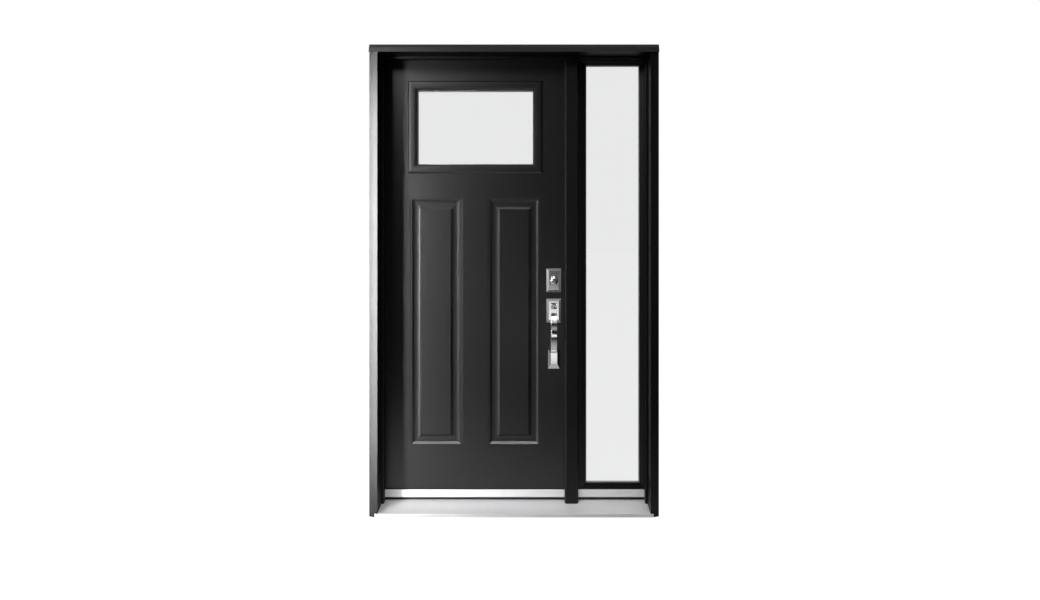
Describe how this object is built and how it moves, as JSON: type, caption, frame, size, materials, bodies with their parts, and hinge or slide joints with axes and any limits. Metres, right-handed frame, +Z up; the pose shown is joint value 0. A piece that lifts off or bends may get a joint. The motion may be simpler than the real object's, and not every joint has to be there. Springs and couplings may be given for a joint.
{
  "type": "entrance door with sidelight",
  "caption": "Inward-swinging steel-faced entrance door with raised panels and a small top window, in its frame with a fixed sidelight, metal sill, deadbolt and grip handle",
  "frame": {"origin": "underside of the sill, at the middle of the frame's width, in the plane of the outer wall's face (the back of the casing)", "axes": "+X to the right seen from outside, +Y indoors through the wall, +Z up"},
  "size_m": [1.3, 0.214, 2.1185],
  "materials": {
    "frame_paint": "black gloss",
    "door_paint": "black satin",
    "edge_wood": "black painted",
    "foam": "rigid foam",
    "sill_aluminium": "mill satin",
    "saddle_aluminium": "bright",
    "sill_composite": "moulded",
    "break_vinyl": "black vinyl",
    "seal_rubber": "matte",
    "clear_glass": "clear",
    "spacer_metal": "matte",
    "polished_chrome": "polished",
    "plug_steel": "satin",
    "hinge_steel": "satin"
  },
  "bodies": {
    "frame": {"left_jamb": "frame_paint", "right_jamb": "frame_paint", "head_jamb": "frame_paint", "mullion_post": "frame_paint", "mullion_cover": "frame_paint", "left_stop": "frame_paint", "right_stop": "frame_paint", "head_stops": "frame_paint", "left_casing": "frame_paint", "right_casing": "frame_paint", "head_casing": "frame_paint", "sill_base": "sill_composite", "sill_deck": "sill_aluminium", "thermal_break": "break_vinyl", "threshold_saddle": "saddle_aluminium", "weatherstrips": "seal_rubber", "sidelight_left_bar": "frame_paint", "sidelight_right_bar": "frame_paint", "sidelight_top_bar": "frame_paint", "sidelight_bottom_bar": "frame_paint", "sidelight_panes": "clear_glass", "sidelight_spacer": "spacer_metal", "strike_plates": "hinge_steel", "hinge_frame_leaves": "hinge_steel", "hinge_pins": "hinge_steel"},
    "door": {"exterior_skin": "door_paint", "interior_skin": "door_paint", "hinge_stile": "edge_wood", "lock_stile": "edge_wood", "door_rails": "edge_wood", "foam_core": "foam", "door_sweep": "seal_rubber", "lite_outer_frame": "door_paint", "lite_inner_frame": "door_paint", "lite_panes": "clear_glass", "lite_spacer": "spacer_metal", "deadbolt_plate": "polished_chrome", "deadbolt_housing": "polished_chrome", "handle_plate": "polished_chrome", "grip": "polished_chrome", "grip_foot_plate": "polished_chrome", "knob_plate": "polished_chrome", "door_knob": "polished_chrome", "thumbturn": "polished_chrome", "latch_faceplates": "hinge_steel", "hinge_door_leaves": "hinge_steel"},
    "thumb_lever": {"thumb_piece": "polished_chrome"},
    "lock_plug": {"key_plug": "plug_steel"}
  },
  "joints": [
    {"name": "door_swing", "type": "hinge", "parent": "frame", "child": "door", "pos_m": [-0.61475, 0.1235, 1], "axis": [0, 0, 1], "range_deg": [0, 110]},
    {"name": "thumb_press", "type": "hinge", "parent": "door", "child": "thumb_lever", "pos_m": [0.181, 0.068, 0.938], "axis": [1, 0, 0], "range_deg": [0, 15], "stiffness_Nm_per_rad": 0.5, "springref_deg": -17.19},
    {"name": "key_turn", "type": "hinge", "parent": "door", "child": "lock_plug", "pos_m": [0.181, 0.05, 1.052], "axis": [0, 1, 0], "range_deg": [-90, 90]}
  ]
}
